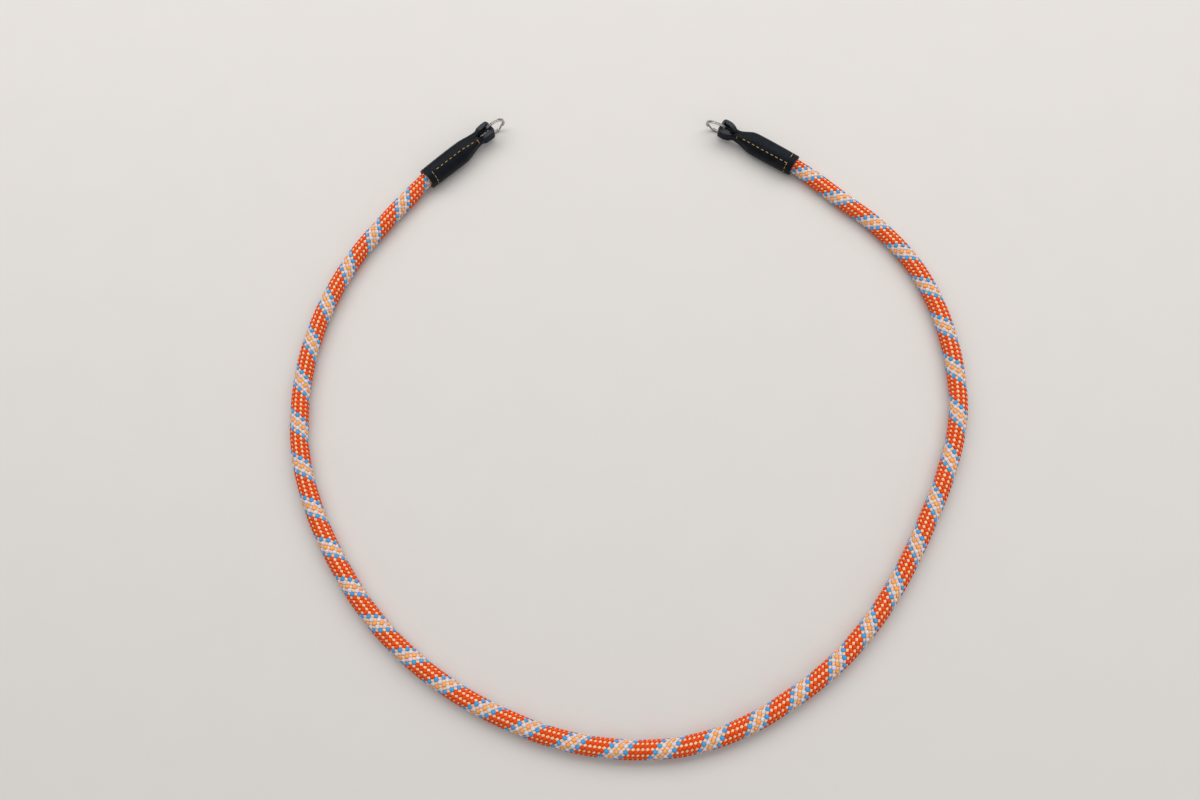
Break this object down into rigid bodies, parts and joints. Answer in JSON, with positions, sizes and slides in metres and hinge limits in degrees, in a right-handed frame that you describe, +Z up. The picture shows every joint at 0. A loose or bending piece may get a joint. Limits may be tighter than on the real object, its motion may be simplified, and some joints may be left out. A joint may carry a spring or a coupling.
{
  "type": "rope camera strap",
  "caption": "Braided rope strap laid in one open loop, each end held in a folded leather tab whose eye carries a steel split ring.",
  "frame": {"origin": "on the table, in the middle of the box of the two ends (the tabs with their rings)", "axes": "+X from the left end to the right end, +Y away from the loop of rope, +Z up from the table"},
  "size_m": [0.4217, 0.4078, 0.0151],
  "materials": {
    "rope": "braided polyamide sheath in orange, cream, white and blue",
    "leather": "smooth black leather with yellow stitching",
    "split_ring": "bright nickel-plated spring steel"
  },
  "bodies": {
    "root": {"rope": "rope", "right_leather_tab": "leather", "left_leather_tab": "leather", "right_split_ring": "split_ring", "left_split_ring": "split_ring"}
  },
  "joints": []
}
